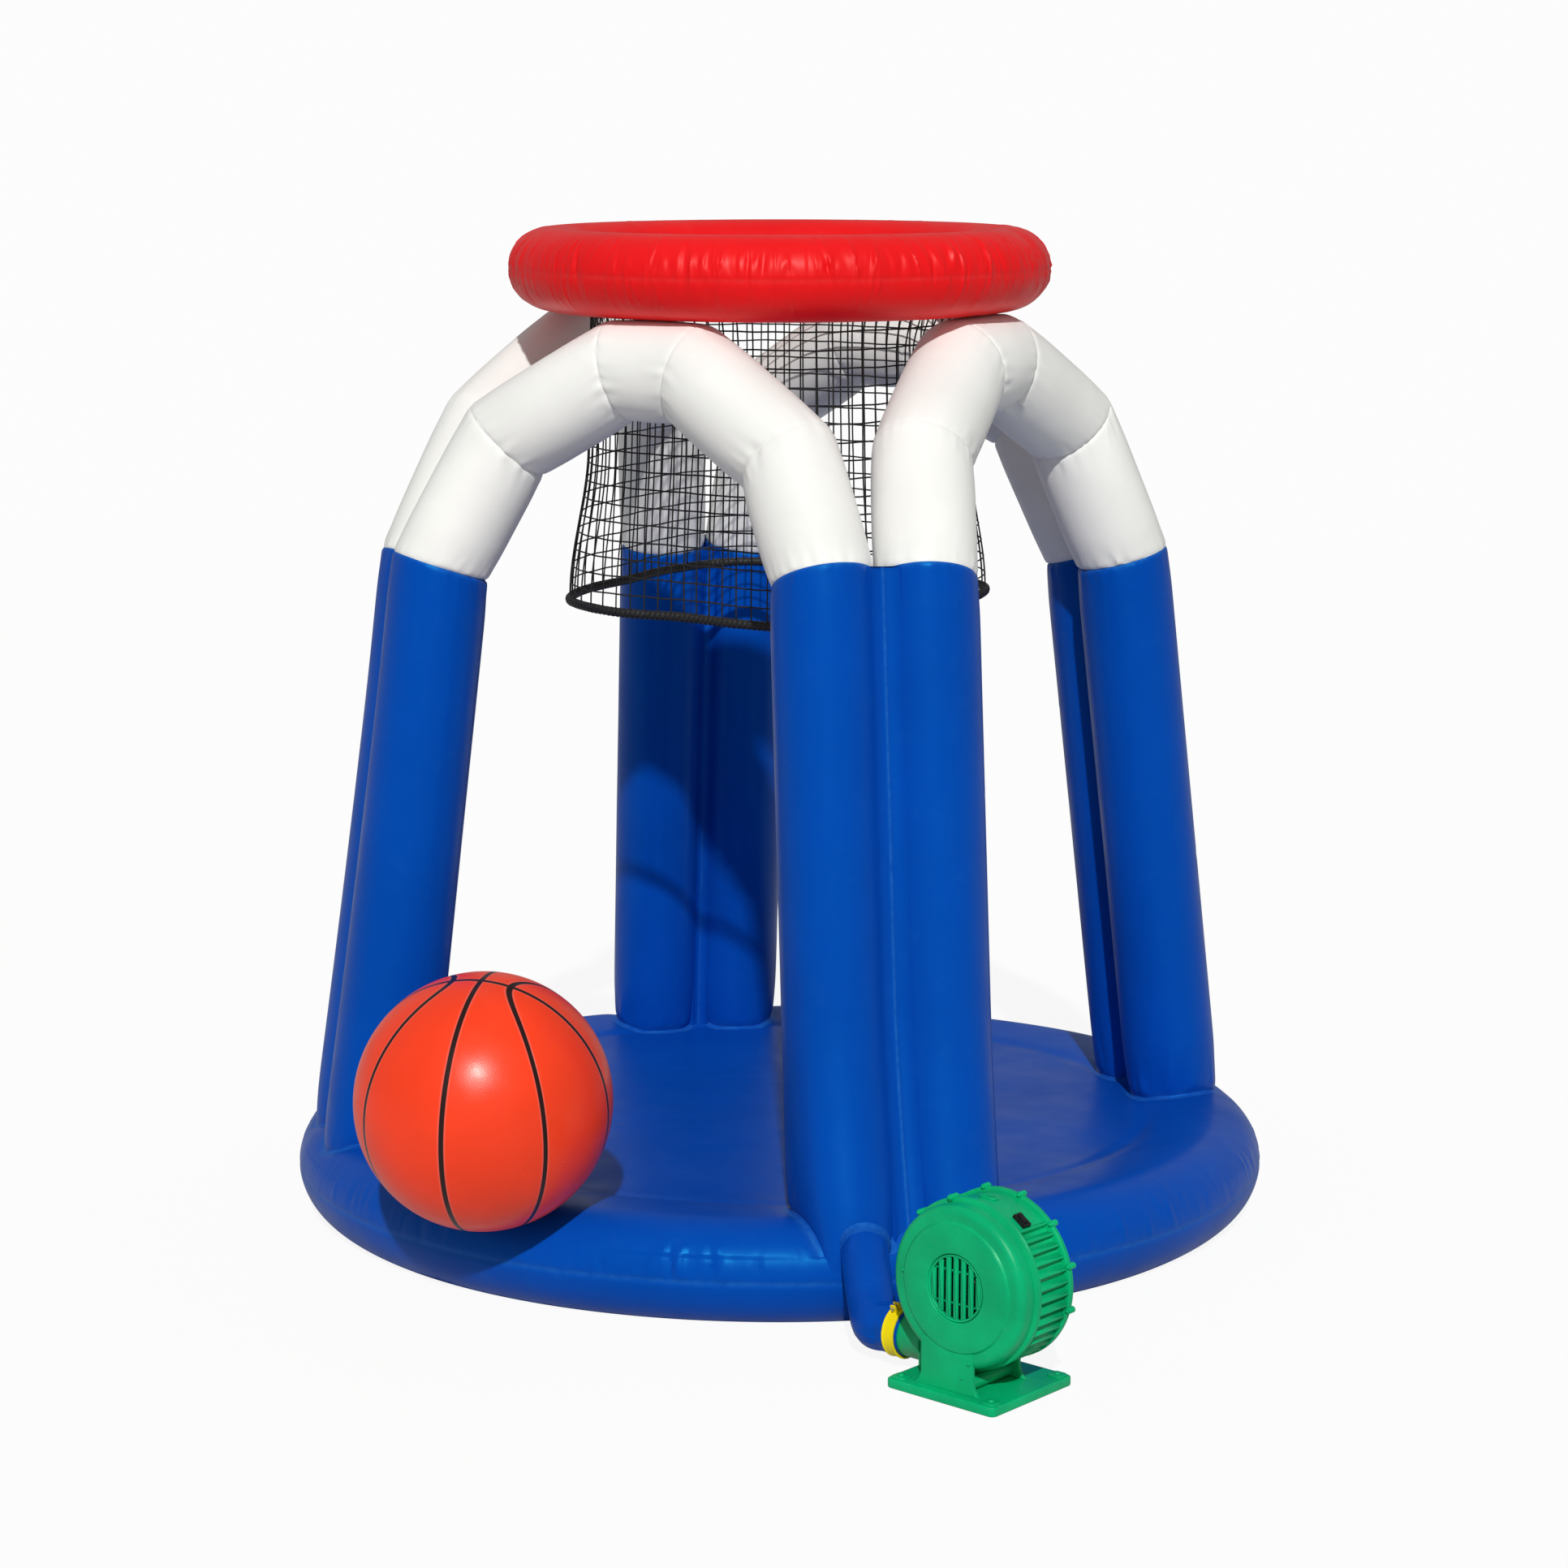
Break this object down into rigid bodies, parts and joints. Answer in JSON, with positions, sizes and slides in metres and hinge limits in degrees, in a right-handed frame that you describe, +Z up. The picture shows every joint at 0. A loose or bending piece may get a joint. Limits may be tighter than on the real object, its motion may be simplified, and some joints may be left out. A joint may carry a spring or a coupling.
{
  "type": "inflatable basketball hoop",
  "caption": "Inflatable basketball hoop: a round blue air base, paired leg tubes, white arches, a red ring with a black net, a green blower and a ball.",
  "frame": {"origin": "centre of the round base, on the ground that it rests on", "axes": "+Z up; -Y towards the archway that the ball stands in front of; the blower lies between -Y and +X"},
  "size_m": [2.3249, 2.4873, 2.2296],
  "materials": {
    "blue_vinyl": "semi-gloss coated fabric",
    "white_vinyl": "semi-gloss coated fabric",
    "red_vinyl": "gloss coated fabric",
    "black_cord": "knotless cord",
    "green_plastic": "semi-gloss moulded",
    "dark_plastic": "moulded",
    "steel": "machined",
    "yellow_strap": "moulded band",
    "orange_vinyl": "gloss vinyl"
  },
  "bodies": {
    "hoop": {"base_rim": "blue_vinyl", "base_floor": "blue_vinyl", "inflation_sleeve": "blue_vinyl", "leg_front_left": "blue_vinyl", "leg_front_right": "blue_vinyl", "leg_right_left": "blue_vinyl", "leg_right_right": "blue_vinyl", "leg_rear_left": "blue_vinyl", "leg_rear_right": "blue_vinyl", "leg_left_left": "blue_vinyl", "leg_left_right": "blue_vinyl", "arch_front_lower_left": "white_vinyl", "arch_front_upper_left": "white_vinyl", "arch_front_crown": "white_vinyl", "arch_front_upper_right": "white_vinyl", "arch_front_lower_right": "white_vinyl", "arch_right_lower_left": "white_vinyl", "arch_right_upper_left": "white_vinyl", "arch_right_crown": "white_vinyl", "arch_right_upper_right": "white_vinyl", "arch_right_lower_right": "white_vinyl", "arch_rear_lower_left": "white_vinyl", "arch_rear_upper_left": "white_vinyl", "arch_rear_crown": "white_vinyl", "arch_rear_upper_right": "white_vinyl", "arch_rear_lower_right": "white_vinyl", "arch_left_lower_left": "white_vinyl", "arch_left_upper_left": "white_vinyl", "arch_left_crown": "white_vinyl", "arch_left_upper_right": "white_vinyl", "arch_left_lower_right": "white_vinyl", "hoop_ring": "red_vinyl", "net_front_left": "black_cord", "net_front_right": "black_cord", "net_right_left": "black_cord", "net_right_right": "black_cord", "net_rear_left": "black_cord", "net_rear_right": "black_cord", "net_left_left": "black_cord", "net_left_right": "black_cord", "net_top_rope": "black_cord", "net_foot_rope": "black_cord", "blower_front_cover": "green_plastic", "blower_drum": "green_plastic", "blower_rear_cover": "green_plastic", "blower_foot_plate": "green_plastic", "intake_grille": "green_plastic", "motor_can": "dark_plastic", "switch_bezel": "dark_plastic", "cord_gland": "dark_plastic", "motor_front_bearing": "steel", "motor_rear_bearing": "steel", "strap_screw": "steel", "sleeve_strap": "yellow_strap"},
    "fan_rotor": {"impeller": "dark_plastic", "motor_shaft": "steel"},
    "rocker": {"switch_rocker": "dark_plastic"},
    "ball": {"play_ball": "orange_vinyl"}
  },
  "joints": [
    {"name": "fan_spin", "type": "hinge", "parent": "hoop", "child": "fan_rotor", "pos_m": [1.05963, -1.02382, 0.212], "axis": [-0.1908, -0.9816, 0], "continuous": true},
    {"name": "switch_rock", "type": "hinge", "parent": "hoop", "child": "rocker", "pos_m": [1.14448, -1.06017, 0.34085], "axis": [0.1908, 0.9816, 0], "range_deg": [-18, 0]},
    {"name": "ball_lift", "type": "slide", "parent": "hoop", "child": "ball", "axis": [0, 0, 1], "range_m": [0, 0.6]}
  ]
}
